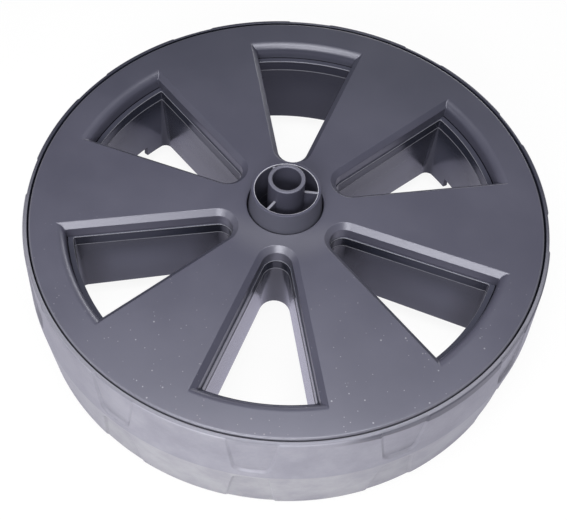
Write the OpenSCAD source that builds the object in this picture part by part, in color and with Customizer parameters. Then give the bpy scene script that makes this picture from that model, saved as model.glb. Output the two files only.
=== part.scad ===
// Plastic wheel for a garden machine: a moulded body with a clipped-in front cover.
// The wheel lies on its back edge, its axle bore upright on the Z axis.

/* [Tread] */
// Diameter over the tread at its parting line
wheel_d = 230; // [190:1:300]
// Width of the tread, from the back edge to the front lip
wheel_w = 57; // [48:0.5:80]
// Height of the tread's parting line over the back edge
parting_z = 29; // [24:0.5:34]
// Draft of the tread's front half, in degrees
front_draft = 3; // [1:0.1:4]
// Draft of the tread's back half, in degrees
back_draft = 3.6; // [1:0.1:4.5]
// Wall between the tread and the hollow rim
rim_wall = 3.2; // [2.6:0.1:5]
// Small chamfer on the tread's two edges
edge_chamfer = 0.6; // [0.2:0.1:1]

/* [Tread recesses] */
// Number of recesses round each half of the tread
recess_count = 12; // [8:1:16]
// Width of a recess at the wheel's edge
recess_mouth_w = 22; // [16:0.5:26]
// Width of a recess at its closed end
recess_root_w = 15; // [10:0.5:20]
// Depth of a recess at the wheel's edge
recess_depth = 0.4; // [0.2:0.1:1.8]
// Draft of a recess floor, in degrees
recess_draft = 1; // [0:0.1:2]
// Slope of a recess wall, sideways for each millimetre of depth
recess_slope = 0.8; // [0.2:0.1:1.2]
// Radius of a recess's closed corners
recess_corner_r = 4; // [2:0.5:6]
// Height of the plain band in front of the parting line
band_front_h = 3; // [2:0.5:6]
// Height of the plain band behind the parting line
band_back_h = 1; // [0.5:0.5:4]

/* [Windows] */
// Distance from the axle to a window's inner end
window_inner_r = 22.6; // [22:0.1:26]
// Radius of a window's rounded inner end
window_apex_r = 9.1; // [8:0.1:10]
// Angle between a window's side and its middle line, in degrees
window_side_a = 15.7; // [14.5:0.1:17.5]
// Width of the cover between a window's outer side and the cover's edge
cover_band_w = 15.5; // [13:0.1:20]
// Chamfer along a window's sides
window_chamfer = 2.4; // [1:0.1:3]
// Rounding along a window's outer side
window_round = 4; // [2:0.5:5]

/* [Cover] */
// Gap between the cover and the rim's lip
cover_gap = 0.5; // [0.2:0.1:1]
// Thickness of the rim's lip round the cover
lip_w = 2; // [1.8:0.1:3.5]
// Depth from the cover's face to its seat
seat_depth = 7.6; // [6:0.1:10]
// Thickness of the cover's plate
cover_t = 2.4; // [1.8:0.1:3.5]
// Thickness of the cover's skirts
skirt_t = 1.8; // [1.2:0.1:2.4]
// Rounding of the cover's outer edge
cover_round = 1.2; // [0.4:0.1:1.6]
// Radius of the hole for the hub
hub_hole_r = 16.7; // [16.2:0.1:19]

/* [Clips] */
// Distance of the clips from the cover's edge
clip_inset = 8; // [6.5:0.1:9.5]
// Width of a clip
clip_w = 8; // [5:0.5:12]
// Thickness of a clip's leg
clip_t = 1.8; // [1.2:0.1:2.4]
// Reach of a clip's barb
clip_barb = 1.2; // [0.6:0.1:1.6]
// Height of a clip's barb
clip_barb_h = 3; // [2:0.1:4]
// Clearance round a clip in its slot
clip_clear = 0.4; // [0.2:0.1:0.8]
// Room for a clip to bend while it snaps in
clip_bend = 1.3; // [1:0.1:2]

/* [Body] */
// Thickness of the web under the cover
web_t = 2.5; // [1.8:0.1:3.5]
// Wall of the window tubes and the drum
tube_wall = 2.2; // [1.6:0.1:3]
// Width of the ledge at a window's outer side
ledge_w = 2.8; // [1.5:0.1:4]
// Widening of the window tubes towards the back
tube_draft = 1.9; // [0.5:0.1:2.2]
// How far the tubes' sides stand inside the cover's window
tube_step = 0.5; // [0.3:0.1:0.8]
// Depth of the line where the tubes start to widen
tube_line_depth = 13.3; // [11.5:0.1:18]
// Height of the tubes' lower edge over the wheel's back edge
tube_end_z = 8; // [4:0.5:12]
// Rise of the tubes' lower edge from the drum to the hub
tube_rise = 3; // [1:0.5:5]
// Width of the notch in the drum's lower edge
notch_w = 20; // [12:1:26]
// Height of the notch in the drum's lower edge
notch_h = 4.8; // [3:0.1:7]
// Thickness of the ribs behind the web
rib_t = 1.8; // [1.2:0.1:2.6]
// Number of ribs between the drum and the tread
rim_rib_count = 12; // [6:1:24]

/* [Hub] */
// Radius of the axle bore
bore_r = 6.1; // [5:0.1:6.5]
// Outer radius of the axle tube
tube_r = 7.9; // [7.5:0.1:9]
// Height of the axle tube over the cover's face
tube_top = 17; // [12:0.1:20]
// Outer radius of the hub ring
ring_r = 14.9; // [14:0.1:15.6]
// Wall of the hub ring
ring_wall = 1.4; // [1:0.1:2]
// Height of the hub ring over the cover's face
ring_top = 10; // [6:0.1:11]
// Thickness of the ribs inside the hub ring
hub_rib_t = 1.1; // [0.8:0.1:1.6]
// Depth of the hub ribs' top below the ring's top
hub_rib_drop = 0.6; // [0.2:0.1:2]
// Depth of the hub's front pocket below the cover's face
hub_pocket_depth = 20; // [15:0.5:26]
// Height of the hub's back end over the wheel's back edge
hub_back_z = 2; // [1:0.5:6]
// Chamfer on the bore's mouths and the tube's ends
bore_chamfer = 0.5; // [0.2:0.1:0.7]

/* [Hidden] */
plastic = [0.36, 0.36, 0.41];
cover_plastic = [0.40, 0.40, 0.45];
window_count = 6;
window_pitch = 360 / window_count;
hub_rib_count = 3;
clip_count = 6;
over = 1; // how far a cut runs past a face
round_fn = 180;
arc_steps = 16; // facets on a tube's outer side
corner_steps = 5; // facets on a tube's or a recess's corner

// Tread, from the parting line to both edges
tread_r = wheel_d / 2;
front_r = tread_r - (wheel_w - parting_z) * tan(front_draft);
back_r = tread_r - parting_z * tan(back_draft);
recess_front_r = front_r - recess_depth;
recess_back_r = back_r - recess_depth;
front_recess_l = wheel_w - parting_z - band_front_h;
back_recess_l = parting_z - band_back_h;
recess_low_r = min(recess_front_r, recess_back_r) - over;
recess_high_r = tread_r + over;
floor_chamfer = max(edge_chamfer - 0.75 * recess_depth, edge_chamfer / 4);

// Cover, fitted into the rim's lip
pocket_r = front_r - lip_w;
cover_r = pocket_r - cover_gap;
window_outer_r = cover_r - cover_band_w;
seat_z = wheel_w - seat_depth;
plate_z = wheel_w - cover_t;

// Body behind the cover
rim_inner_r = min(front_r, back_r) - rim_wall;
web_z = seat_z - web_t;
line_z = wheel_w - tube_line_depth;
tube_front_inset = window_chamfer + tube_step;
tube_outer_r = window_outer_r - ledge_w;
rise_r = tube_outer_r * 0.7;
blank_inner_r = ring_r - ring_wall * 0.8;
hollow_hub_r = ring_r - ring_wall * 0.5;

// Shape of the tubes' inner ends and corners at the line and at the lower edge
line_apex_r = 4.5;
line_apex_flat = 1.25;
line_corner_r = 0.8;
end_apex_r = 6;
end_apex_flat = 1.3;
end_corner_r = 4.5;

// Rise of the rounding on a window's outer side, so that it meets the face at a slight angle
round_lift = 0.08;
// How far a window's sides lie inside the tangents of its rounded end, so that they cross it at a slight angle
side_sink = 0.02;

// Clips
clip_r = cover_r - clip_inset;
clip_in_r = clip_r - clip_t / 2;
clip_out_r = clip_r + clip_t / 2;

// Points of an arc round a centre, between two angles
function arc_points(centre, r, from, to, steps) =
    [for (i = [0:steps]) centre + r * [cos(from + (to - from) * i / steps), sin(from + (to - from) * i / steps)]];

// Where a window's side line, moved inwards, meets the window's middle line
function side_start(inset) =
    window_inner_r + window_apex_r + (inset - window_apex_r) / sin(window_side_a);

// Centre of a corner between a window's side line and its outer side
function corner_centre(inset, outer_r, r) =
    let (
        x = side_start(inset + r),
        t = sqrt(pow(outer_r - r, 2) - pow(x * sin(window_side_a), 2)) - x * cos(window_side_a)
    )
    [x + t * cos(window_side_a), t * sin(window_side_a)];

// Outline of a window tube: outer side, two corners, and an inner end with a flat and two rounded corners
function tube_outline(inset, outer_r, corner_r, apex_r, apex_flat) =
    let (
        c = corner_centre(inset, outer_r, corner_r),
        side_a = 90 + window_side_a,
        outer_a = atan2(c.y, c.x),
        apex_x = side_start(inset) + (apex_flat * cos(window_side_a) + apex_r) / sin(window_side_a)
    )
    concat(
        arc_points([0, 0], outer_r, -outer_a, outer_a, arc_steps),
        arc_points(c, corner_r, outer_a + 90 / corner_steps, side_a, corner_steps),
        arc_points([apex_x, apex_flat], apex_r, side_a, 180, corner_steps),
        arc_points([apex_x, -apex_flat], apex_r, 180, 360 - side_a, corner_steps),
        arc_points([c.x, -c.y], corner_r, 360 - side_a, 360 - outer_a - 90 / corner_steps, corner_steps)
    );

// Solid through outlines with the same number of points, each at its height
module loft(outlines, heights) {
    n = len(outlines[0]);
    top = len(outlines) - 1;
    polyhedron(
        points = [for (k = [0:top]) for (p = outlines[k]) [p.x, p.y, heights[k]]],
        faces = concat(
            [[for (i = [0:n - 1]) i]],
            [[for (i = [0:n - 1]) top * n + (n - i) % n]],
            [for (k = [1:top]) for (i = [0:n - 1]) [(k - 1) * n + i, k * n + i, k * n + (i + 1) % n]],
            [for (k = [1:top]) for (i = [0:n - 1])
                [(k - 1) * n + i, k * n + (i + 1) % n, (k - 1) * n + (i + 1) % n]]
        )
    );
}

// Copies of what repeats round the axle
module around(count, start = 0) {
    for (i = [0:count - 1])
        rotate(start + i * 360 / count) children();
}

// Plain ring round the axle
module ring(outer_r, inner_r, z0, z1) {
    translate([0, 0, z0])
        difference() {
            cylinder(r = outer_r, h = z1 - z0, $fn = round_fn);
            translate([0, 0, -over]) cylinder(r = inner_r, h = z1 - z0 + 2 * over, $fn = round_fn);
        }
}

// Tread

// Outline of a recess, widened by grow, its closed end at y = 0 and its open end past y = length
function recess_outline(length, grow) =
    let (
        lean = atan2((recess_mouth_w - recess_root_w) / 2, length),
        r = recess_corner_r,
        cy = r - grow,
        cx = recess_root_w / 2 + cy * tan(lean) + (grow - r) / cos(lean),
        end_y = length + 2 * over,
        end_x = recess_root_w / 2 + end_y * tan(lean) + grow / cos(lean)
    )
    concat(
        arc_points([cx, cy], r, -90, -lean, corner_steps),
        [[end_x, end_y], [-end_x, end_y]],
        arc_points([-cx, cy], r, 180 + lean, 270, corner_steps)
    );

// Cut for one recess, its walls sloping outwards
module recess_cut(length, edge_r) {
    rotate([90, 0, 90])
        loft(
            [
                recess_outline(length, (recess_low_r - edge_r) * recess_slope),
                recess_outline(length, (recess_high_r - edge_r) * recess_slope)
            ],
            [recess_low_r, recess_high_r]
        );
}

// Tread at full height, drafted from the parting line to both edges
module tread_blocks() {
    rotate_extrude($fn = round_fn)
        polygon([
            [rim_inner_r, 0],
            [back_r - edge_chamfer, 0],
            [back_r, edge_chamfer],
            [tread_r, parting_z],
            [front_r, wheel_w - edge_chamfer],
            [front_r - edge_chamfer, wheel_w],
            [rim_inner_r, wheel_w]
        ]);
}

// Tread as deep as the recess floors
module tread_floor() {
    rotate_extrude($fn = round_fn)
        polygon([
            [rim_inner_r, 0],
            [recess_back_r - floor_chamfer, 0],
            [recess_back_r, floor_chamfer],
            [recess_back_r + back_recess_l * tan(recess_draft), back_recess_l],
            [recess_front_r + front_recess_l * tan(recess_draft), wheel_w - front_recess_l],
            [recess_front_r, wheel_w - floor_chamfer],
            [recess_front_r - floor_chamfer, wheel_w],
            [rim_inner_r, wheel_w]
        ]);
}

module tread() {
    difference() {
        union() {
            tread_floor();
            difference() {
                tread_blocks();
                around(recess_count) {
                    translate([0, 0, parting_z + band_front_h]) recess_cut(front_recess_l, front_r);
                    translate([0, 0, parting_z - band_back_h])
                        mirror([0, 0, 1]) recess_cut(back_recess_l, back_r);
                }
            }
        }
        translate([0, 0, seat_z]) cylinder(r = pocket_r, h = seat_depth + over, $fn = round_fn);
    }
}

// Body

// Web, drum, spokes and rim channel before their hollows are cut
module body_blank() {
    rotate_extrude($fn = round_fn)
        polygon([
            [blank_inner_r, tube_end_z + tube_rise],
            [rise_r, tube_end_z + tube_rise],
            [tube_outer_r, tube_end_z],
            [rim_inner_r + over, tube_end_z],
            [rim_inner_r + over, seat_z],
            [blank_inner_r, seat_z]
        ]);
}

// Space inside one window tube, straight down to the line and wider from there to the back
module tube_inside() {
    grow = tube_draft * line_z / (line_z - tube_end_z);
    line_outline = tube_outline(
        tube_front_inset, tube_outer_r, line_corner_r, line_apex_r, line_apex_flat
    );
    back_outline = tube_outline(
        tube_front_inset - grow, tube_outer_r + grow, end_corner_r, end_apex_r, end_apex_flat
    );
    loft([back_outline, line_outline, line_outline], [0, line_z, seat_z + over]);
}

// Outline of the hollow between a window's middle line and the next spoke's, outside the tube's wall
function hollow_outline(inset, outer_r, apex_r, apex_flat) =
    let (
        wall_start = side_start(inset - tube_wall),
        apex = [side_start(inset) + (apex_flat * cos(window_side_a) + apex_r) / sin(window_side_a), apex_flat],
        wall_r = apex_r + tube_wall,
        t = sqrt(pow(outer_r, 2) - pow(wall_start * sin(window_side_a), 2)) - wall_start * cos(window_side_a),
        corner_a = atan2(t * sin(window_side_a), wall_start + t * cos(window_side_a)),
        hub_rib_a = asin(rib_t / 2 / hollow_hub_r)
    )
    concat(
        [
            hollow_hub_r * [cos(window_pitch / 2 - hub_rib_a), sin(window_pitch / 2 - hub_rib_a)],
            hollow_hub_r * [cos(hub_rib_a), sin(hub_rib_a)],
            [apex.x - wall_r, rib_t / 2]
        ],
        arc_points(apex, wall_r, 180, 90 + window_side_a, corner_steps),
        arc_points([0, 0], outer_r, corner_a, window_pitch / 2 - asin(rib_t / 2 / outer_r), corner_steps)
    );

// Hollow behind the web in one half of a spoke
module spoke_hollow() {
    grow = tube_draft * web_z / (web_z - tube_end_z);
    loft(
        [
            hollow_outline(tube_front_inset - grow, tube_outer_r + grow, end_apex_r, end_apex_flat),
            hollow_outline(tube_front_inset, tube_outer_r, line_apex_r, line_apex_flat)
        ],
        [0, web_z]
    );
}

// Channel behind the web between the drum and the tread, divided by ribs
module rim_channel() {
    drum_outer_r = tube_outer_r + tube_wall;
    difference() {
        rotate_extrude($fn = round_fn)
            polygon([
                [drum_outer_r + tube_draft, tube_end_z - over],
                [rim_inner_r + 2 * over, tube_end_z - over],
                [rim_inner_r + 2 * over, web_z],
                [drum_outer_r, web_z]
            ]);
        around(rim_rib_count, 180 / rim_rib_count)
            translate([drum_outer_r - over, -rib_t / 2, 0])
                cube([rim_inner_r - drum_outer_r + 4 * over, rib_t, wheel_w]);
    }
}

// Web with the walls and ribs that stand behind it
module body_webbed() {
    difference() {
        body_blank();
        rim_channel();
        around(window_count, window_pitch / 2) {
            spoke_hollow();
            mirror([0, 1, 0]) spoke_hollow();
        }
    }
}

// Notch in the drum's lower edge, behind every second window
module drum_notch() {
    translate([tube_outer_r - tube_wall, -notch_w / 2, tube_end_z - over])
        cube([3 * tube_wall + tube_draft, notch_w, notch_h + over]);
}

// Slot in the web for one clip
module clip_slot() {
    translate([clip_in_r - clip_bend, -clip_w / 2 - clip_clear, web_z - over])
        cube([clip_t + clip_bend + clip_clear, clip_w + 2 * clip_clear, web_t + 2 * over]);
}

// Hub: a ring and an axle tube, joined by a floor and by ribs on both sides of it
module hub() {
    floor_z = wheel_w - hub_pocket_depth;
    ring_z = wheel_w + ring_top;
    ring(ring_r, ring_r - ring_wall, hub_back_z, ring_z);
    ring(ring_r - ring_wall / 2, bore_r, floor_z - web_t, floor_z);
    rotate_extrude($fn = round_fn)
        polygon([
            [bore_r + bore_chamfer, hub_back_z],
            [tube_r - bore_chamfer, hub_back_z],
            [tube_r, hub_back_z + bore_chamfer],
            [tube_r, wheel_w + tube_top - bore_chamfer],
            [tube_r - bore_chamfer, wheel_w + tube_top],
            [bore_r + bore_chamfer, wheel_w + tube_top],
            [bore_r, wheel_w + tube_top - bore_chamfer],
            [bore_r, hub_back_z + bore_chamfer]
        ]);
    around(hub_rib_count)
        translate([(bore_r + tube_r) / 2, -hub_rib_t / 2, hub_back_z + hub_rib_drop])
            cube([ring_r - ring_wall / 2 - (bore_r + tube_r) / 2, hub_rib_t,
                ring_z - hub_back_z - 2 * hub_rib_drop]);
}

module wheel_body() {
    color(plastic)
        union() {
            tread();
            difference() {
                body_webbed();
                around(window_count, window_pitch / 2) tube_inside();
                around(hub_rib_count, window_pitch / 2) drum_notch();
                around(clip_count) clip_slot();
            }
            hub();
        }
}

// Cover

// Flat shape of a window, its sides and inner end moved inwards by an inset
module window_shape(inset, outer_r) {
    r = window_apex_r - inset;
    apex_x = window_inner_r + window_apex_r;
    foot = [apex_x - (r - side_sink) * sin(window_side_a), (r - side_sink) * cos(window_side_a)];
    far = [cos(window_side_a), sin(window_side_a)] * wheel_d;
    intersection() {
        circle(r = outer_r, $fn = round_fn);
        union() {
            translate([apex_x, 0]) circle(r = r, $fn = 60);
            polygon([foot, foot + far, [foot.x + far.x, -foot.y - far.y], [foot.x, -foot.y]]);
        }
    }
}

// Profile of the space inside a window's outer side, with the rounding towards the face
module window_arc_profile() {
    round_z = wheel_w - window_round + round_lift;
    difference() {
        translate([0, seat_z - 2 * over])
            square([window_outer_r + window_round, seat_depth + 4 * over]);
        translate([window_outer_r, seat_z - 3 * over])
            square([window_round + over, round_z - seat_z + 3 * over]);
        translate([window_outer_r + window_round, round_z])
            circle(r = window_round, $fn = 60);
    }
}

// Bar with a triangular section that cuts the chamfer along one side of a window
module side_chamfer() {
    apex_x = window_inner_r + window_apex_r;
    translate([apex_x, 0, 0])
        rotate([0, 0, window_side_a])
            translate([0, window_apex_r - window_chamfer - side_sink, wheel_w - window_chamfer])
                rotate([90, 0, 90])
                    linear_extrude(wheel_d / 2)
                        polygon([
                            [-over, -over],
                            [window_chamfer + over, window_chamfer + over],
                            [-over, window_chamfer + over]
                        ]);
}

// One window through the cover, chamfered at its sides and rounded at its outer side
module window_cut() {
    apex_x = window_inner_r + window_apex_r;
    intersection() {
        rotate_extrude($fn = round_fn) window_arc_profile();
        union() {
            translate([0, 0, seat_z - over])
                linear_extrude(seat_depth + 2 * over)
                    window_shape(window_chamfer, wheel_d);
            translate([apex_x, 0, wheel_w - window_chamfer - over])
                cylinder(
                    r1 = window_apex_r - window_chamfer - over, r2 = window_apex_r + over,
                    h = window_chamfer + 2 * over, $fn = 60
                );
            side_chamfer();
            mirror([0, 1, 0]) side_chamfer();
        }
    }
}

// Plate, outer skirt and hub collar in one profile
module cover_profile() {
    // plate with its rounded outer edge
    translate([hub_hole_r, plate_z])
        square([cover_r - cover_round - hub_hole_r, cover_t]);
    translate([cover_r - skirt_t, seat_z])
        square([skirt_t, seat_depth - cover_round]);
    intersection() {
        translate([cover_r - cover_round, wheel_w - cover_round])
            circle(r = cover_round, $fn = 48);
        translate([cover_r - 2 * cover_round, wheel_w - 2 * cover_round])
            square(2 * cover_round);
    }
    translate([hub_hole_r, seat_z])
        square([skirt_t, seat_depth - cover_t / 2]);
}

// Clip with a barb that holds behind the web
module clip() {
    barb_z = web_z - clip_clear / 4;
    translate([0, clip_w / 2, 0])
        rotate([90, 0, 0])
            linear_extrude(clip_w)
                polygon([
                    [clip_in_r, plate_z + cover_t / 2],
                    [clip_in_r, barb_z - clip_barb_h],
                    [clip_out_r - clip_t / 3, barb_z - clip_barb_h],
                    [clip_out_r + clip_barb, barb_z - clip_barb_h / 4],
                    [clip_out_r + clip_barb, barb_z],
                    [clip_out_r, barb_z],
                    [clip_out_r, plate_z + cover_t / 2]
                ]);
}

module wheel_cover() {
    color(cover_plastic) {
        difference() {
            union() {
                rotate_extrude($fn = round_fn) cover_profile();
                around(window_count, window_pitch / 2)
                    translate([0, 0, seat_z])
                        linear_extrude(seat_depth - cover_t / 2)
                            window_shape(window_chamfer - skirt_t, window_outer_r + skirt_t);
            }
            around(window_count, window_pitch / 2) window_cut();
        }
        around(clip_count) clip();
    }
}

wheel_body();
wheel_cover();
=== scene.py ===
"""Garden machine wheel: the looks of its moulded body and its clip-in cover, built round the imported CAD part.

Sizes in the first part are in millimetres, in the CAD part's own frame: the wheel's axis is Z and its back edge lies at z = 0.
"""

import math

import bmesh
import bpy
import numpy as np
from mathutils import Matrix, Vector, geometry

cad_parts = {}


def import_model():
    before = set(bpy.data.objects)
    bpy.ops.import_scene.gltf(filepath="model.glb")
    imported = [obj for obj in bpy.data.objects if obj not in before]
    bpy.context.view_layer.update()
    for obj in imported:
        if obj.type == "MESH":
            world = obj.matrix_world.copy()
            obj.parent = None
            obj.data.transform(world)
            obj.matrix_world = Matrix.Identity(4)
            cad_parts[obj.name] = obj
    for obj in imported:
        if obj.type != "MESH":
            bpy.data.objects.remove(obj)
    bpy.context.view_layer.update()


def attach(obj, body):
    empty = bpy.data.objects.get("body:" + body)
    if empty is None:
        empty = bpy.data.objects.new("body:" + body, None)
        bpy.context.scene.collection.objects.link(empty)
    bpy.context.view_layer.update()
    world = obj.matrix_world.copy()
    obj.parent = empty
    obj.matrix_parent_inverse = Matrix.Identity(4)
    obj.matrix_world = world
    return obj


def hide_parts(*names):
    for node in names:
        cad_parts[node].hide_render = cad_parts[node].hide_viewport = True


MM = 0.001

# Tread
WHEEL_R = 115.0  # at the parting line
WHEEL_W = 57.0
PARTING_Z = 29.0
FRONT_DRAFT = math.radians(3.0)
BACK_DRAFT = math.radians(3.6)
RIM_INNER_R = 109.975
RECESSES = 12  # round each half of the tread
RECESS_MOUTH_W = 22.0
RECESS_ROOT_W = 15.0
RECESS_DEPTH = 0.4
RECESS_DRAFT = math.radians(1.0)
RECESS_SLOPE_W = 1.3
RECESS_CORNER_R = 4.0
BAND_FRONT_H = 3.0  # plain band in front of the parting line
BAND_BACK_H = 1.0
EDGE_R = 0.6
LIP_ROUND = 1.1

# Windows
WINDOWS = 6
SIDE_A = math.radians(15.7)
WINDOW_APEX_X = 31.7
WINDOW_APEX_R = 9.1
WINDOW_OUTER_R = 95.533
WINDOW_CHAMFER = 2.4
WINDOW_ROUND = 4.0
WINDOW_CORNER_R = 0.35

# Cover
COVER_R = 111.033
POCKET_R = 111.533
SEAT_Z = 49.4
COVER_T = 2.4
SKIRT_T = 1.8
COVER_ROUND = 1.2
HUB_HOLE_R = 16.7
HOLE_ROUND = 0.5
REST_GAP = 0.02

# Body behind the cover
WEB_T = 2.5
TUBE_WALL = 2.2
TUBE_OUTER_R = 92.733
TUBE_DRAFT = 1.9
TUBE_INSET = 2.9
LINE_Z = 43.7
TUBE_END_Z = 8.0
TUBE_RISE = 3.0
RISE_R = 0.7 * TUBE_OUTER_R
LINE_SHAPE = {"corner_r": 0.8, "apex_r": 6.1, "flat": 0.0}
END_SHAPE = {"corner_r": 4.5, "apex_r": 7.5, "flat": 0.0}
NOTCH_W = 26.0
NOTCH_H = 6.4
RIB_T = 1.8

# Clips
CLIP_R = 103.033
CLIP_W = 8.0
CLIP_T = 1.8
CLIP_BARB = 1.2
CLIP_BARB_H = 3.0
CLIP_CLEAR = 0.4
CLIP_BEND = 1.3

# Hub
BORE_R = 6.1
TUBE_R = 7.9
TUBE_TOP = 17.0
RING_R = 14.9
RING_WALL = 1.4
RING_TOP = 10.0
RING_FOOT_R = 16.0
HUB_RIB_T = 1.1
HUB_RIB_DROP = 0.6
HUB_POCKET = 20.0
HUB_BACK_Z = 2.0

FILLET = 0.4
ROUND_STEPS = 288


# Points and solids


def arc(centre, r, start, end, steps):
    """Points of an arc between two angles in degrees."""
    angles = np.radians(np.linspace(start, end, steps + 1))
    return [(centre[0] + r * math.cos(a), centre[1] + r * math.sin(a)) for a in angles]


def circle(r, steps=ROUND_STEPS):
    return arc((0, 0), r, 0, 360, steps)[:-1]


def turned(points, degrees):
    """Flat points turned round the axle."""
    c, s = math.cos(math.radians(degrees)), math.sin(math.radians(degrees))
    return [(c * x - s * y, s * x + c * y) for x, y in points]


def level(points, z):
    return [(x, y, z) for x, y in points]


def wedge(inset, outer_r, corner_r, apex_r=None, flat=0.0, arc_steps=26, corner_steps=6):
    """Outline of a window round the X axis: outer side, two corners, and the rounded inner end."""
    side_start = WINDOW_APEX_X + (inset - WINDOW_APEX_R) / math.sin(SIDE_A)
    if apex_r is None:
        apex_r = WINDOW_APEX_R - inset
    x = side_start + corner_r / math.sin(SIDE_A)
    t = math.sqrt((outer_r - corner_r) ** 2 - (x * math.sin(SIDE_A)) ** 2) - x * math.cos(SIDE_A)
    corner = (x + t * math.cos(SIDE_A), t * math.sin(SIDE_A))
    outer_a = math.degrees(math.atan2(corner[1], corner[0]))
    side_a = 90 + math.degrees(SIDE_A)
    apex_x = side_start + (flat * math.cos(SIDE_A) + apex_r) / math.sin(SIDE_A)
    mirrored = (corner[0], -corner[1])
    lower_apex = arc((apex_x, -flat), apex_r, 180, 360 - side_a, corner_steps)
    return (
        arc((0, 0), outer_r, -outer_a, outer_a, arc_steps)
        + arc(corner, corner_r, outer_a, side_a, corner_steps)[1:]
        + arc((apex_x, flat), apex_r, side_a, 180, corner_steps)
        + (lower_apex if flat else lower_apex[1:])
        + arc(mirrored, corner_r, 360 - side_a, 360 - outer_a, corner_steps)[:-1]
    )


def fillet(r, start, end, steps=3):
    """Offsets from a fillet's centre, between two angles in degrees."""
    return arc((0, 0), r, start, end, steps)


class Solid:
    """Points in millimetres and the faces between them, put together loop by loop."""

    def __init__(self):
        self.points = []
        self.faces = []

    def loop(self, points):
        start = len(self.points)
        self.points.extend(points)
        return list(range(start, len(self.points)))

    def bridge(self, a, b):
        n = len(a)
        for i in range(n):
            j = (i + 1) % n
            self.faces.append((a[i], a[j], b[j], b[i]))

    def walls(self, loops):
        """Bands of faces through a row of loops, which it also returns."""
        rows = [self.loop(points) for points in loops]
        for a, b in zip(rows, rows[1:]):
            self.bridge(a, b)
        return rows

    def fill(self, outer, holes=()):
        """Flat face inside one loop and outside the others."""
        loops = [outer, *holes]
        index = [i for loop in loops for i in loop]
        flat = [Vector(self.points[i][:2]) for i in index]
        edges, start = [], 0
        for loop in loops:
            n = len(loop)
            edges += [(start + i, start + (i + 1) % n) for i in range(n)]
            start += n
        _, _, faces, originals, _, _ = geometry.delaunay_2d_cdt(flat, edges, [], 1, 1e-9)
        corners = np.array([[index[originals[i][0]] for i in face] for face in faces])
        places = np.array(self.points)[:, :2]
        middles = places[corners].mean(1)
        keep = inside(middles, places[outer])
        for hole in holes:
            keep &= ~inside(middles, places[hole])
        self.faces += [tuple(face) for face in corners[keep].tolist()]

    def mesh(self, name):
        data = bpy.data.meshes.new(name)
        data.from_pydata([Vector(p) * MM for p in self.points], [], self.faces)
        shape = bmesh.new()
        shape.from_mesh(data)
        bmesh.ops.recalc_face_normals(shape, faces=shape.faces)
        shape.to_mesh(data)
        shape.free()
        return data

    def object(self, name):
        obj = bpy.data.objects.new(name, self.mesh(name))
        bpy.context.scene.collection.objects.link(obj)
        return obj


def inside(points, outline):
    """Which of the points lie inside a closed outline."""
    x, y = points[:, 0, None], points[:, 1, None]
    x0, y0 = outline[:, 0], outline[:, 1]
    x1, y1 = np.roll(x0, -1), np.roll(y0, -1)
    crosses = (y0 > y) != (y1 > y)
    with np.errstate(divide="ignore", invalid="ignore"):
        at = (x1 - x0) * (y - y0) / (y1 - y0) + x0
    return (crosses & (x < at)).sum(1) % 2 == 1


def revolved(name, profile, steps=ROUND_STEPS):
    """Solid of revolution with a closed (radius, height) profile."""
    solid = Solid()
    rows = [solid.loop(level(circle(r, steps), z)) for r, z in profile]
    for a, b in zip(rows, rows[1:] + rows[:1]):
        solid.bridge(a, b)
    return solid.object(name)


def plate(name, outline, low, high, degrees=0):
    """Straight solid on a flat outline."""
    solid = Solid()
    rows = solid.walls([level(turned(outline, degrees), z) for z in (low, high)])
    for row in rows:
        solid.fill(row)
    return solid.object(name)


def radial_plate(name, profile, thickness, degrees):
    """Solid with a (radius, height) outline, standing along a radius."""
    solid = Solid()
    rows = []
    c, s = math.cos(math.radians(degrees)), math.sin(math.radians(degrees))
    for y in (-thickness / 2, thickness / 2):
        rows.append(solid.loop([(c * r - s * y, s * r + c * y, z) for r, z in profile]))
    solid.bridge(*rows)
    solid.faces.append(tuple(rows[0]))
    solid.faces.append(tuple(reversed(rows[1])))
    return solid.object(name)


def combine(base, others, operation):
    """One mesh from several closed ones; the others are used up."""
    for other in others:
        modifier = base.modifiers.new(other.name, "BOOLEAN")
        modifier.object = other
        modifier.operation = operation
        modifier.solver = "MANIFOLD"
    depsgraph = bpy.context.evaluated_depsgraph_get()
    data = bpy.data.meshes.new_from_object(base.evaluated_get(depsgraph))
    base.modifiers.clear()
    base.data = data
    for other in others:
        bpy.data.objects.remove(other)
    return base


def finished(obj, name, body="root"):
    """Smooth moulded surface with crisp edges, riding on its body."""
    obj.name = obj.data.name = name
    shape = bmesh.new()
    shape.from_mesh(obj.data)
    bmesh.ops.remove_doubles(shape, verts=shape.verts, dist=2e-6)
    bmesh.ops.dissolve_degenerate(shape, dist=2e-6, edges=shape.edges)
    shape.to_mesh(obj.data)
    shape.free()
    obj.data.shade_smooth()
    obj.data.set_sharp_from_angle(angle=math.radians(38))
    normals = obj.modifiers.new("normals", "WEIGHTED_NORMAL")
    normals.keep_sharp = True
    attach(obj, body)
    return obj


# Cover


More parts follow.
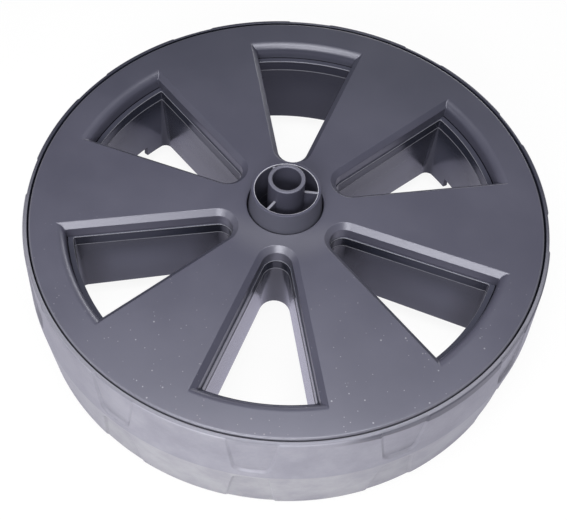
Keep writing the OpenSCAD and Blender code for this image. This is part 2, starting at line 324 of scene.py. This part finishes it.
def window_rows():
    """(depth, side inset, outer radius) down a window's wall in the cover."""
    chamfer = [(0.4 * math.sin(a), 0.4 * (1 - math.cos(a))) for a in np.radians([0, 15, 30, 45])]
    start = -FILLET * math.tan(math.radians(22.5))
    rows = [(d, start + s) for s, d in chamfer]
    rows += [(d, d) for d in (0.3, 0.6, 1.0, 1.45, 1.9)]
    foot = WINDOW_CHAMFER + FILLET * math.tan(math.radians(22.5))
    rows += [
        (foot + FILLET * math.sin(a), WINDOW_CHAMFER - FILLET + FILLET * math.cos(a))
        for a in np.radians([-45, -30, -15, 0])
    ]
    rows += [(d, WINDOW_CHAMFER) for d in (3.2, 4.0, 7.3)]
    rows.append((WHEEL_W - SEAT_Z - REST_GAP, WINDOW_CHAMFER - 0.12))

    def outer_r(depth):
        drop = max(WINDOW_ROUND - depth, 0)
        return WINDOW_OUTER_R + WINDOW_ROUND - math.sqrt(WINDOW_ROUND**2 - drop**2)

    return [(depth, inset, outer_r(depth)) for depth, inset in rows]


def clip(degrees):
    """Snap clip with a barb that holds behind the web."""
    inner, outer = CLIP_R - CLIP_T / 2, CLIP_R + CLIP_T / 2
    barb_z = SEAT_Z - WEB_T - CLIP_CLEAR / 4
    profile = [
        (inner, WHEEL_W - COVER_T / 2),
        (inner, barb_z - CLIP_BARB_H),
        (outer - CLIP_T / 3, barb_z - CLIP_BARB_H),
        (outer + CLIP_BARB, barb_z - CLIP_BARB_H / 4),
        (outer + CLIP_BARB, barb_z),
        (outer, barb_z),
        (outer, WHEEL_W - COVER_T / 2),
    ]
    return radial_plate("clip", profile, CLIP_W, degrees)


def make_cover():
    cover = Solid()
    low, under = SEAT_Z + REST_GAP, WHEEL_W - COVER_T

    rim = [(COVER_R - COVER_ROUND + x, WHEEL_W - COVER_ROUND + z) for x, z in fillet(COVER_ROUND, 90, 0, 6)]
    rim += [(COVER_R, low + 0.2), (COVER_R - 0.2, low), (COVER_R - SKIRT_T, low), (COVER_R - SKIRT_T, under)]
    rim_rows = cover.walls([level(circle(r), z) for r, z in rim])

    hole = [(HUB_HOLE_R + HOLE_ROUND + x, WHEEL_W - HOLE_ROUND + z) for x, z in fillet(HOLE_ROUND, 90, 180, 4)]
    hole += [(HUB_HOLE_R, low + 0.2), (HUB_HOLE_R + 0.2, low), (HUB_HOLE_R + SKIRT_T, low), (HUB_HOLE_R + SKIRT_T, under)]
    hole_rows = cover.walls([level(circle(r, 96), z) for r, z in hole])

    tops, feet = [hole_rows[0]], [hole_rows[-1]]
    for i in range(WINDOWS):
        turn = (i + 0.5) * 360 / WINDOWS
        loops = [
            level(turned(wedge(inset, outer_r, WINDOW_CORNER_R), turn), WHEEL_W - depth)
            for depth, inset, outer_r in window_rows()
        ]
        skirt = turned(wedge(WINDOW_CHAMFER - SKIRT_T, WINDOW_OUTER_R + SKIRT_T, WINDOW_CORNER_R), turn)
        rows = cover.walls(loops + [level(skirt, low), level(skirt, under)])
        tops.append(rows[0])
        feet.append(rows[-1])
    cover.fill(rim_rows[0], tops)
    cover.fill(rim_rows[-1], feet)

    obj = cover.object("cover")
    combine(obj, [clip(i * 360 / WINDOWS) for i in range(WINDOWS)], "UNION")
    return finished(obj, "cover_shell")


# Body


def recess_cover(x, y, lean):
    """How deep a recess is at a point, from 0 on the tread to 1 on its floor; y runs from its closed end."""
    u = (RECESS_ROOT_W / 2 + np.maximum(y, 0) * math.tan(lean) - np.abs(x)) * math.cos(lean)
    v = y + 0 * x
    corner = RECESS_CORNER_R
    rounded = corner - np.hypot(np.maximum(corner - u, 0), np.maximum(corner - v, 0))
    depth = np.clip(np.where((u < corner) & (v < corner), rounded, np.minimum(u, v)) / RECESS_SLOPE_W, 0, 1)
    return depth * depth * (3 - 2 * depth)


def recess_span(z):
    """Distance of a height from a recess's closed end, and the recess's length, in that half of the tread."""
    if z >= PARTING_Z:
        return z - PARTING_Z - BAND_FRONT_H, WHEEL_W - PARTING_Z - BAND_FRONT_H
    return PARTING_Z - BAND_BACK_H - z, PARTING_Z - BAND_BACK_H


def tread_r(x, z):
    """Radius of the tread at a height, x millimetres round it from a recess's middle."""
    draft = FRONT_DRAFT if z >= PARTING_Z else BACK_DRAFT
    base = WHEEL_R - abs(z - PARTING_Z) * math.tan(draft)
    y, length = recess_span(z)
    lean = math.atan2((RECESS_MOUTH_W - RECESS_ROOT_W) / 2, length)
    floor = RECESS_DEPTH + (length - y) * (math.tan(draft) - math.tan(RECESS_DRAFT))
    return base - floor * recess_cover(x, y, lean)


def tread_columns(y, length):
    """Places of the mesh's columns in one sector, in millimetres from the recess's middle."""
    half = math.pi * WHEEL_R / RECESSES
    edge = RECESS_ROOT_W / 2 + max(y, 0) * (RECESS_MOUTH_W - RECESS_ROOT_W) / 2 / length
    inner = np.linspace(0, edge - 4.6, 4)[1:-1]
    fine = edge - 4.6 + 0.27 * np.arange(19)
    outer = np.linspace(fine[-1], half, 9)[1:-1]
    right = np.concatenate([inner, fine, outer])
    return np.concatenate([[-half], -right[::-1], [0.0], right])


def tread_heights():
    """Heights of the tread's rows, close together where a recess ends."""
    ends = [-0.5, -0.15, 0.1, 0.35, 0.6, 0.85, 1.15, 1.5, 1.9, 2.4, 2.9, 3.4, 3.9, 4.6, 6.0]
    front = [PARTING_Z + BAND_FRONT_H + y for y in ends] + [45.5, 51.5, WHEEL_W - LIP_ROUND]
    back = [PARTING_Z - BAND_BACK_H - y for y in ends] + [14.0, 6.0, EDGE_R]
    return back[::-1] + [PARTING_Z - 0.15, PARTING_Z, PARTING_Z + 0.15, PARTING_Z + 1.5] + front


def make_rim():
    """Tread with its recesses, its two edges, and the rim's inner side."""
    solid = Solid()

    def row(z, inset, height):
        points = []
        y, length = recess_span(z)
        for i in range(RECESSES):
            x = tread_columns(y, length)
            r = tread_r(x, z) - inset
            a = 2 * math.pi * i / RECESSES + x / WHEEL_R
            points += [(p * math.cos(q), p * math.sin(q), height) for p, q in zip(r, a)]
        return points

    loops = [row(z, 0, z) for z in tread_heights()]
    steps = [((1 - math.cos(a)), math.sin(a)) for a in np.radians([22.5, 45, 67.5, 90])]
    loops += [row(WHEEL_W - LIP_ROUND, LIP_ROUND * inset, WHEEL_W - LIP_ROUND * (1 - rise)) for inset, rise in steps]
    columns = len(loops[0])
    lip = 0.35
    inner = [(POCKET_R + lip + x, WHEEL_W - lip + z) for x, z in fillet(lip, 90, 180)]
    inner += [(POCKET_R, SEAT_Z), (RIM_INNER_R, SEAT_Z), (RIM_INNER_R, lip)]
    inner += [(RIM_INNER_R + lip + x, lip + z) for x, z in fillet(lip, 180, 270)[1:]]
    angles = [math.atan2(y, x) for x, y, _ in loops[0]]
    loops += [[(r * math.cos(a), r * math.sin(a), z) for a in angles] for r, z in inner]
    loops += [row(EDGE_R, EDGE_R * inset, EDGE_R * (1 - rise)) for inset, rise in reversed(steps)]
    rows = solid.walls(loops)
    solid.bridge(rows[-1], rows[0])
    assert len(rows[0]) == columns
    return solid.object("rim")


def end_z(x, y):
    """Height of the tubes' and ribs' lower edge at a place."""
    share = np.clip((math.hypot(x, y) - RISE_R) / (TUBE_OUTER_R - RISE_R), 0, 1)
    return TUBE_END_Z + TUBE_RISE * (1 - share)


def tube_shape(wall, grow):
    """Outline of a window tube's side, at the line (grow 0) or at the back edge (grow 1)."""
    shape = {key: LINE_SHAPE[key] + (END_SHAPE[key] - LINE_SHAPE[key]) * grow for key in LINE_SHAPE}
    widen = grow * TUBE_DRAFT * LINE_Z / (LINE_Z - TUBE_END_Z)
    return wedge(
        TUBE_INSET - wall - widen,
        TUBE_OUTER_R + wall + widen,
        shape["corner_r"] + wall,
        shape["apex_r"] + wall,
        shape["flat"],
    )


def tube_loop(wall, share, lift=0.0):
    """Loop on a tube's side: share runs from 0 at the line to 1 at its lower edge."""
    front, back = tube_shape(wall, 0), tube_shape(wall, 1)
    points = []
    for (x0, y0), (x1, y1) in zip(front, back):
        z = LINE_Z + share * (end_z(x0, y0) + lift - LINE_Z)
        t = 1 - z / LINE_Z
        points.append((x0 + t * (x1 - x0), y0 + t * (y1 - y0), z))
    return points


def make_tube(degrees):
    """Wall round one window, from the web's face to its lower edge."""
    solid = Solid()
    loops = []
    for x, z in fillet(FILLET, 90, 0):
        loops.append(level(tube_shape(FILLET - x, 0), SEAT_Z - FILLET + z))
    loops += [level(tube_shape(inset, 0), z) for inset, z in ((0, SEAT_Z - 2), (0, LINE_Z + 0.35), (-0.2, LINE_Z + 0.05))]
    loops += [tube_loop(0, share) for share in (0.007, 0.2, 0.4, 0.6, 0.8)]
    loops += [tube_loop(0, 1, FILLET), tube_loop(0.12, 1, 0.12), tube_loop(FILLET, 1)]
    loops += [tube_loop(TUBE_WALL - FILLET, 1), tube_loop(TUBE_WALL - 0.12, 1, 0.12), tube_loop(TUBE_WALL, 1, FILLET)]
    loops += [tube_loop(TUBE_WALL, share) for share in (0.75, 0.5, 0.25, 0)]
    loops.append(level(tube_shape(TUBE_WALL, 0), SEAT_Z))
    c, s = math.cos(math.radians(degrees)), math.sin(math.radians(degrees))
    rows = solid.walls([[(c * x - s * y, s * x + c * y, z) for x, y, z in loop] for loop in loops])
    solid.bridge(rows[-1], rows[0])
    return solid.object("tube")


def make_web():
    """Plate under the cover, with wide holes for the tubes and slots for the clips."""
    solid = Solid()
    sides = []
    slot_in, slot_out = CLIP_R - CLIP_T / 2 - CLIP_BEND, CLIP_R + CLIP_T / 2 + CLIP_CLEAR
    slot_half = CLIP_W / 2 + CLIP_CLEAR
    slot = [(slot_in, -slot_half), (slot_out, -slot_half), (slot_out, slot_half), (slot_in, slot_half)]
    for z in (SEAT_Z, SEAT_Z - WEB_T):
        loops = [solid.loop(level(circle(RIM_INNER_R + 0.6), z)), solid.loop(level(circle(RING_R - RING_WALL / 2, 96), z))]
        for i in range(WINDOWS):
            hole = tube_shape(TUBE_WALL / 2, 0)
            loops.append(solid.loop(level(turned(hole, (i + 0.5) * 360 / WINDOWS), z)))
            loops.append(solid.loop(level(turned(slot, i * 360 / WINDOWS), z)))
        solid.fill(loops[0], loops[1:])
        sides.append(loops)
    for top, bottom in zip(*sides):
        solid.bridge(top, bottom)
    return solid.object("web")


def make_drum():
    """Ring behind the web at the tubes' outer sides, drafted like them."""
    step = 0.05
    flare = TUBE_DRAFT
    return revolved(
        "drum",
        [
            (TUBE_OUTER_R + step, SEAT_Z - 1),
            (TUBE_OUTER_R + step, LINE_Z),
            (TUBE_OUTER_R + flare + step, TUBE_END_Z + step),
            (TUBE_OUTER_R + TUBE_WALL + flare - step, TUBE_END_Z + step),
            (TUBE_OUTER_R + TUBE_WALL - step, LINE_Z),
            (TUBE_OUTER_R + TUBE_WALL - step, SEAT_Z - 1),
        ],
    )


def make_ribs():
    """Ribs behind the web: along the spokes, at the windows' inner ends and in the rim channel."""
    top = SEAT_Z - WEB_T / 2
    hub_r = RING_R - RING_WALL / 2
    drum_r = TUBE_OUTER_R + TUBE_DRAFT + TUBE_WALL / 2
    spoke = [(hub_r, TUBE_END_Z + TUBE_RISE), (RISE_R, TUBE_END_Z + TUBE_RISE), (drum_r, TUBE_END_Z + 0.1), (drum_r, top), (hub_r, top)]
    inner = [(hub_r, TUBE_END_Z + TUBE_RISE), (20.7, TUBE_END_Z + TUBE_RISE), (24.0, top), (hub_r, top)]
    rim = [(drum_r - 0.4, TUBE_END_Z + 0.2), (RIM_INNER_R + 0.8, TUBE_END_Z + 0.2), (RIM_INNER_R + 0.8, top), (drum_r - 2.0, top)]
    ribs = [radial_plate("spoke_rib", spoke, RIB_T, i * 60) for i in range(WINDOWS)]
    ribs += [radial_plate("inner_rib", inner, RIB_T, 30 + i * 60) for i in range(WINDOWS)]
    ribs += [radial_plate("rim_rib", rim, RIB_T, 15 + i * 30) for i in range(RECESSES)]
    return ribs


def make_hub():
    """Ring, axle tube, floor between them and three thin ribs."""
    ring_z, tube_z = WHEEL_W + RING_TOP, WHEEL_W + TUBE_TOP
    edge, floor_z = 0.3, WHEEL_W - HUB_POCKET
    inner_r = RING_R - RING_WALL
    ring = [(RING_R - edge + x, ring_z - edge + z) for x, z in fillet(edge, 0, 90)]
    ring += [(inner_r + edge + x, ring_z - edge + z) for x, z in fillet(edge, 90, 180)]
    ring += [(inner_r, HUB_BACK_Z), (RING_R, HUB_BACK_Z), (RING_R, SEAT_Z - WEB_T), (RING_FOOT_R, SEAT_Z - WEB_T / 2)]
    ring += [(RING_FOOT_R, WHEEL_W - 1.0), (RING_FOOT_R - 0.1, WHEEL_W - 0.2)]
    chamfer = 0.5
    tube = [(TUBE_R - chamfer + x, tube_z - chamfer + z) for x, z in fillet(chamfer, 0, 90)]
    tube += [(BORE_R + chamfer + x, tube_z - chamfer + z) for x, z in fillet(chamfer, 90, 180)]
    tube += [(BORE_R + chamfer + x, HUB_BACK_Z + chamfer + z) for x, z in fillet(chamfer, 180, 270)]
    tube += [(TUBE_R - chamfer + x, HUB_BACK_Z + chamfer + z) for x, z in fillet(chamfer, 270, 360)]
    middle_r = (BORE_R + TUBE_R) / 2
    floor = [(middle_r, floor_z - WEB_T), (inner_r + 0.6, floor_z - WEB_T), (inner_r + 0.6, floor_z), (middle_r, floor_z)]
    low, high = HUB_BACK_Z + HUB_RIB_DROP, ring_z - HUB_RIB_DROP
    rib = [(middle_r, low), (inner_r + 0.6, low), (inner_r + 0.6, high), (middle_r, high)]
    parts = [revolved("ring", ring, 128), revolved("axle_tube", tube, 96), revolved("floor", floor, 96)]
    return parts + [radial_plate("hub_rib", rib, HUB_RIB_T, i * 120) for i in range(3)]


def make_body():
    notch_r = TUBE_OUTER_R - TUBE_WALL
    notch = [(notch_r, -NOTCH_W / 2), (notch_r + 10, -NOTCH_W / 2), (notch_r + 10, NOTCH_W / 2), (notch_r, NOTCH_W / 2)]
    body = make_web()
    tubes = [make_tube((i + 0.5) * 360 / WINDOWS) for i in range(WINDOWS)]
    combine(body, tubes + [make_drum()] + make_ribs(), "UNION")
    notches = [plate("notch", notch, TUBE_END_Z - 2, TUBE_END_Z + NOTCH_H, 30 + i * 120) for i in range(3)]
    combine(body, notches, "DIFFERENCE")
    combine(body, [make_rim()] + make_hub(), "UNION")
    return finished(body, "body_shell")


# Materials


class Nodes:
    """Short way to add shader nodes and join them."""

    def __init__(self, name):
        self.material = bpy.data.materials.new(name)
        self.material.use_nodes = True
        self.tree = self.material.node_tree
        self.tree.nodes.clear()

    def add(self, kind, inputs=None, **settings):
        node = self.tree.nodes.new(kind)
        for key, value in settings.items():
            setattr(node, key, value)
        for key, value in (inputs or {}).items():
            if isinstance(value, bpy.types.NodeSocket):
                self.tree.links.new(value, node.inputs[key])
            else:
                node.inputs[key].default_value = value
        return node

    def math(self, operation, a, b=0.0, clamp=False):
        node = self.add("ShaderNodeMath", {0: a, 1: b}, operation=operation, use_clamp=clamp)
        return node.outputs[0]

    def ramp(self, value, low, high, to_low=0.0, to_high=1.0):
        node = self.add("ShaderNodeMapRange", {"Value": value, "From Min": low, "From Max": high, "To Min": to_low, "To Max": to_high}, clamp=True, interpolation_type="SMOOTHSTEP")
        return node.outputs[0]

    def band(self, value, low, high):
        """1 between two places in millimetres, soft over a twentieth of one."""
        soft = 0.05
        above = self.ramp(value, (low - soft) * MM, low * MM)
        return self.math("MULTIPLY", above, self.ramp(value, (high + soft) * MM, high * MM))

    def noise(self, place, scale, detail=3.0, roughness=0.5):
        node = self.add("ShaderNodeTexNoise", {"Vector": place, "Scale": scale, "Detail": detail, "Roughness": roughness})
        return node.outputs["Fac"]

    def mix(self, factor, a, b):
        node = self.add("ShaderNodeMix", data_type="RGBA")
        for key, value in ((0, factor), (6, a), (7, b)):
            if isinstance(value, bpy.types.NodeSocket):
                self.tree.links.new(value, node.inputs[key])
            else:
                node.inputs[key].default_value = value
        return node.outputs[2]


COVER_GREY = (0.047, 0.0468, 0.0675, 1)
COVER_GREY_LIGHT = (0.056, 0.0557, 0.0785, 1)


def plastic(name, dark, light, rough):
    """Satin moulded plastic with a fine grain, slight clouds and dust specks, painted shade on its back half, a painted
    sheen near the hub and a painted highlight on its outer edge.
    """
    n = Nodes(name)
    place = n.add("ShaderNodeTexCoord").outputs["Object"]
    clouds = n.noise(place, 22.0, 4.0, 0.55)
    grain = n.noise(place, 2600.0, 2.0, 0.6)
    colour = n.mix(n.ramp(clouds, 0.35, 0.68), dark, light)
    x, y, z = n.add("ShaderNodeSeparateXYZ", {0: place}).outputs
    front = n.ramp(y, 0.0, -0.06)
    patches = n.noise(place, 14.0, 2.0)
    for scale, size, low, share in ((190.0, 0.085, 0.40, 0.38), (330.0, 0.10, 0.32, 0.28)):
        specks = n.add("ShaderNodeTexVoronoi", {"Vector": place, "Scale": scale, "Randomness": 1.0})
        dust = n.math("MULTIPLY", n.ramp(specks.outputs["Distance"], size, size / 2), n.math("MULTIPLY", n.ramp(patches, low, low + 0.16), front))
        colour = n.mix(n.math("MULTIPLY", dust, share), colour, (0.45, 0.45, 0.47, 1))
    r = n.math("SQRT", n.math("ADD", n.math("MULTIPLY", x, x), n.math("MULTIPLY", y, y)))
    # Painted shade: the cover's face is darkened towards its back half.
    colour = n.mix(n.ramp(y, 0.02, 0.10, 0.0, 0.36), colour, (0.024, 0.027, 0.037, 1))
    # Painted sheen: a pale patch on the face just in front of the hub.
    painted_sheen_near_hub = n.math("MULTIPLY", n.ramp(r, 0.034, 0.021), n.ramp(y, -0.004, -0.018))
    colour = n.mix(n.math("MULTIPLY", painted_sheen_near_hub, 0.06), colour, (0.45, 0.45, 0.47, 1))
    # Painted highlight: a pale band on the cover's rounded outer edge.
    colour = n.mix(n.math("MULTIPLY", n.ramp(r, (COVER_R - 1.1) * MM, (COVER_R - 0.6) * MM), 0.12), colour, (0.45, 0.45, 0.49, 1))
    roughness = n.math("ADD", n.math("MULTIPLY", grain, 0.10), n.math("ADD", n.math("MULTIPLY", clouds, 0.08), rough - 0.09))
    bump = n.add("ShaderNodeBump", {"Height": grain, "Strength": 0.16, "Distance": 0.0001})
    shader = n.add("ShaderNodeBsdfPrincipled", {"Base Color": colour, "Roughness": roughness, "Normal": bump.outputs[0], "IOR": 1.62, "Specular Tint": (0.91, 0.91, 1.0, 1)})
    n.add("ShaderNodeOutputMaterial", {"Surface": shader.outputs[0]})
    return n.material


def body_plastic():
    """The body's plastic: satin inside, paler with wear on the tread; painted shade in the windows, on the ledge, on
    the tread's sides and below the lip, and painted highlights on the lip's front and along thin edges.
    """
    n = Nodes("body_plastic")
    place = n.add("ShaderNodeTexCoord").outputs["Object"]
    split = n.add("ShaderNodeSeparateXYZ", {0: place})
    x, y, z = split.outputs
    r = n.math("SQRT", n.math("ADD", n.math("MULTIPLY", x, x), n.math("MULTIPLY", y, y)))
    clouds = n.noise(place, 24.0, 4.0, 0.55)
    grain = n.noise(place, 2600.0, 2.0, 0.6)
    # Painted shade: the window tubes' walls are darker towards the top, under the cover, and paler towards the bottom.
    deep = n.mix(n.ramp(z, 0.044, 0.020), (0.014, 0.0155, 0.0245, 1), (0.074, 0.0755, 0.108, 1))
    # Painted shade: walls facing the front at the windows' outer and inner ends, and a band near the windows' outer
    # corners, are darkened to near black.
    facing = n.ramp(n.add("ShaderNodeSeparateXYZ", {0: n.add("ShaderNodeTexCoord").outputs["Normal"]}).outputs[1], -0.55, -0.95)
    ends = n.math("MAXIMUM", n.ramp(r, 0.086, 0.092), n.ramp(r, 0.044, 0.034))
    corners = n.math("MULTIPLY", n.ramp(r, 0.076, 0.089), n.ramp(r, 0.0906, 0.0900))
    shade = n.math("MAXIMUM", n.math("MULTIPLY", n.math("MULTIPLY", facing, ends), 0.75), n.math("MULTIPLY", corners, 0.6))
    deep = n.mix(shade, deep, (0.006, 0.0065, 0.010, 1))
    # Painted highlight: the lip's top turns light towards the front and stays dark at the back.
    lip_painted_light = n.mix(n.ramp(y, 0.03, -0.05), (0.030, 0.0305, 0.043, 1), (0.15, 0.149, 0.175, 1))
    lip = n.math("MULTIPLY", n.ramp(r, 0.1116, 0.1118), n.ramp(z, (WHEEL_W - 1.2) * MM, (WHEEL_W - 0.9) * MM))
    deep = n.mix(lip, deep, lip_painted_light)
    ring = n.mix(n.ramp(clouds, 0.35, 0.68), (0.074, 0.0745, 0.098, 1), (0.088, 0.0885, 0.115, 1))
    hub = n.math("MULTIPLY", n.ramp(r, 0.0172, 0.0168), n.math("MULTIPLY", n.ramp(r, 0.0140, 0.0145), n.ramp(z, 0.0669, 0.0667)))
    inner = n.mix(n.ramp(r, 0.0172, 0.0168), deep, COVER_GREY)
    inner = n.mix(hub, inner, ring)
    wear = n.noise(place, 55.0, 5.0, 0.62)
    tread = n.mix(n.ramp(wear, 0.3, 0.72), (0.205, 0.203, 0.238, 1), (0.268, 0.265, 0.302, 1))
    back = n.mix(n.ramp(wear, 0.3, 0.7), (0.23, 0.228, 0.252, 1), (0.32, 0.318, 0.332, 1))
    wobble = n.math("MULTIPLY", n.math("SUBTRACT", wear, 0.5), 0.0025)
    below = n.ramp(n.math("ADD", z, wobble), PARTING_Z * MM + 0.0004, PARTING_Z * MM - 0.0006)
    tread = n.mix(below, tread, back)
    # Painted shade: the tread is darkened towards its right and left sides.
    sides = n.math("MAXIMUM", n.math("MULTIPLY", n.ramp(x, 0.02, 0.09), 0.35), n.math("MULTIPLY", n.ramp(x, -0.04, -0.09), 0.5))
    tread = n.mix(sides, tread, (0.105, 0.104, 0.128, 1))
    # Painted shade: a dark band on the tread just below the lip, on the right side.
    painted_shade_strip_z = n.math("ADD", n.math("ADD", z, wobble), n.ramp(x, 0.03, 0.08, 0.0, 0.0028))
    painted_shade_strip = n.math("MULTIPLY", n.ramp(painted_shade_strip_z, 0.0540, 0.0547), n.ramp(x, 0.028, 0.048))
    tread = n.mix(n.math("MULTIPLY", painted_shade_strip, 0.85), tread, (0.045, 0.045, 0.058, 1))
    outside = n.math("MAXIMUM", n.ramp(r, 0.1130, 0.1132), n.math("MULTIPLY", n.ramp(r, 0.1118, 0.1124), n.ramp(z, 0.0567, 0.0561)))
    colour = n.mix(outside, inner, tread)
    # Painted highlights: thin pale lines on the ring's inner top edge, the hub ribs' tops, the axle tube's top and the
    # window tubes' edges at the seat and at the line.
    ring_top = n.band(z, WHEEL_W + RING_TOP - 0.2, WHEEL_W + RING_TOP + 0.1)
    ring_edge = n.math("MULTIPLY", ring_top, n.band(r, RING_R - RING_WALL - 0.1, RING_R - RING_WALL + 0.3))
    tube_edge = n.math("MULTIPLY", n.ramp(z, 0.0735, 0.0739), n.ramp(r, 0.0082, 0.0080))
    seat_edge = n.band(z, SEAT_Z - 0.42, SEAT_Z - 0.12)
    line_edge = n.band(z, LINE_Z - 0.15, LINE_Z + 0.3)
    tube_edges = n.math("MULTIPLY", n.math("MAXIMUM", seat_edge, n.math("MULTIPLY", line_edge, 0.8)), n.ramp(r, 0.0955, 0.0950))
    # Painted shade: the ledge under the cover's rim is darkened, with a painted black shadow line along its outer part
    # by the cover's wall.
    seat = n.math("MULTIPLY", n.band(z, SEAT_Z - 0.02, SEAT_Z + 0.1), n.ramp(r, 0.0995, 0.0990))
    colour = n.mix(seat, colour, (0.036, 0.037, 0.052, 1))
    colour = n.mix(n.math("MULTIPLY", seat, n.ramp(r, 0.0949, 0.0951)), colour, (0.003, 0.003, 0.005, 1))
    rib_top = WHEEL_W + RING_TOP - HUB_RIB_DROP
    rib_edge = n.math("MULTIPLY", n.band(z, rib_top - 0.1, rib_top + 0.1), n.band(r, TUBE_R + 0.1, RING_R - RING_WALL))
    edges = n.math("MAXIMUM", n.math("MAXIMUM", n.math("MAXIMUM", ring_edge, n.math("MULTIPLY", rib_edge, 0.45)), n.math("MULTIPLY", tube_edge, 0.15)), n.math("MULTIPLY", tube_edges, 0.45))
    # Mixes the painted edge highlights in.
    colour = n.mix(n.math("MULTIPLY", edges, 0.7), colour, (0.42, 0.42, 0.47, 1))
    roughness = n.math("ADD", n.math("MULTIPLY", grain, 0.10), n.math("ADD", n.math("MULTIPLY", n.math("MAXIMUM", outside, n.math("MAXIMUM", lip, n.ramp(r, 0.0180, 0.0170))), 0.22), 0.14))
    bump = n.add("ShaderNodeBump", {"Height": grain, "Strength": 0.16, "Distance": 0.0001})
    scuffs = n.add("ShaderNodeBump", {"Height": wear, "Strength": n.math("MULTIPLY", outside, 0.35), "Distance": 0.0008, "Normal": bump.outputs[0]})
    shader = n.add("ShaderNodeBsdfPrincipled", {"Base Color": colour, "Roughness": roughness, "Normal": scuffs.outputs[0], "IOR": 1.37, "Specular Tint": (0.84, 0.85, 1.0, 1)})
    n.add("ShaderNodeOutputMaterial", {"Surface": shader.outputs[0]})
    return n.material


def floor_material():
    """White floor that keeps the wheel's soft shadow and shows white to the camera and in reflections."""
    n = Nodes("floor_white")
    path = n.add("ShaderNodeLightPath").outputs
    mirrored = n.math("MULTIPLY", path["Is Glossy Ray"], 0.77)
    seen = n.math("MAXIMUM", n.math("MAXIMUM", path["Is Camera Ray"], mirrored), path["Is Transmission Ray"])
    white = n.add("ShaderNodeBsdfDiffuse", {"Color": (0.8, 0.8, 0.8, 1)})
    shade = n.mix(path["Is Glossy Ray"], (1, 1, 1, 1), (0.96, 0.93, 1.18, 1))
    glow = n.add("ShaderNodeEmission", {"Color": shade, "Strength": 1.0})
    share = n.math("MULTIPLY", seen, 0.92)
    both = n.add("ShaderNodeMixShader", {0: share, 1: white.outputs[0], 2: glow.outputs[0]})
    n.add("ShaderNodeOutputMaterial", {"Surface": both.outputs[0]})
    return n.material


# Floor, lights and camera


def make_floor():
    solid = Solid()
    half = 40000.0
    solid.faces.append(tuple(solid.loop([(-half, -half, 0), (half, -half, 0), (half, half, 0), (-half, half, 0)])))
    floor = solid.object("floor")
    floor.location.z = -0.0002
    floor.data.materials.append(floor_material())


def soft_light(name, place, target, size, power):
    lamp = bpy.data.lights.new(name, "AREA")
    lamp.shape = "RECTANGLE"
    lamp.size, lamp.size_y = size
    lamp.energy = power
    obj = bpy.data.objects.new(name, lamp)
    obj.location = place
    obj.rotation_euler = (Vector(target) - Vector(place)).to_track_quat("-Z", "Y").to_euler()
    bpy.context.scene.collection.objects.link(obj)


def make_lights():
    world = bpy.data.worlds.new("studio")
    world.use_nodes = True
    nodes = world.node_tree.nodes
    background, path = nodes["Background"], nodes.new("ShaderNodeLightPath").outputs
    background.inputs["Color"].default_value = (1, 1, 1, 1)
    strength = background.inputs["Strength"]
    for name, share in (("Is Camera Ray", 1.0), ("Is Transmission Ray", 1.0), ("Is Glossy Ray", 0.12)):
        seen = nodes.new("ShaderNodeMath")
        seen.operation = "MULTIPLY"
        seen.inputs[1].default_value = share
        world.node_tree.links.new(path[name], seen.inputs[0])
        most = nodes.new("ShaderNodeMath")
        most.operation = "MAXIMUM"
        most.inputs[1].default_value = 0.05
        if strength.links:
            world.node_tree.links.new(strength.links[0].from_socket, most.inputs[1])
        world.node_tree.links.new(seen.outputs[0], most.inputs[0])
        world.node_tree.links.new(most.outputs[0], strength)
    bpy.context.scene.world = world
    soft_light("overhead", (0.0, -0.05, 0.56), (0, -0.05, 0), (0.40, 0.30), 2.1)
    soft_light("near_front", (0.0, -0.12, 0.42), (0, -0.06, 0), (0.28, 0.18), 1.0)
    soft_light("front_left", (-0.26, -0.64, 0.55), (0, 0, 0.03), (0.36, 0.24), 2.1)
    soft_light("front", (0.0, -0.70, 0.55), (0, 0, 0.03), (0.36, 0.24), 4.0)
    soft_light("left", (-0.62, -0.36, 0.36), (0, 0, 0.03), (0.4, 0.3), 0.9)
    soft_light("back", (0.25, 0.85, 0.16), (0, 0, 0.02), (0.6, 0.25), 3.0)


def make_camera():
    """The photograph's view, worked out from the wheel's ellipses; the photograph is cropped off its middle."""
    focal_px, width_px = 1027.885, 567
    middle_px, axis_px = (283.0, 259.5), (230.543, 260.918)
    elevation, roll, turn = math.radians(56.04), math.radians(-0.252), math.radians(8.12)
    distance, across, along = 445.74, -23.51, -25.34
    camera = bpy.data.cameras.new("camera")
    camera.lens = focal_px * camera.sensor_width / width_px
    camera.shift_x = (middle_px[0] - axis_px[0]) / width_px
    camera.shift_y = (axis_px[1] - middle_px[1]) / width_px
    camera.clip_start = 0.01
    obj = bpy.data.objects.new("camera", camera)
    tilt = Matrix.Rotation(math.pi / 2 - elevation, 4, "X") @ Matrix.Rotation(roll, 4, "Z")
    place = Matrix.Translation(Vector((across, along, distance)) * MM)
    turned_view = Matrix.Translation((0, 0, WHEEL_W * MM)) @ Matrix.Rotation(turn, 4, "Z")
    obj.matrix_world = turned_view @ tilt @ place
    bpy.context.scene.collection.objects.link(obj)
    bpy.context.scene.camera = obj


def main():
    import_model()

    cover = make_cover()
    body = make_body()
    cover.data.materials.clear()
    cover.data.materials.append(plastic("cover_plastic", COVER_GREY, COVER_GREY_LIGHT, 0.36))
    body.data.materials.clear()
    body.data.materials.append(body_plastic())
    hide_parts("wheel_cover")
    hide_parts("wheel_body")

    make_floor()
    make_lights()
    make_camera()
    bpy.context.scene.view_settings.view_transform = "Standard"


main()
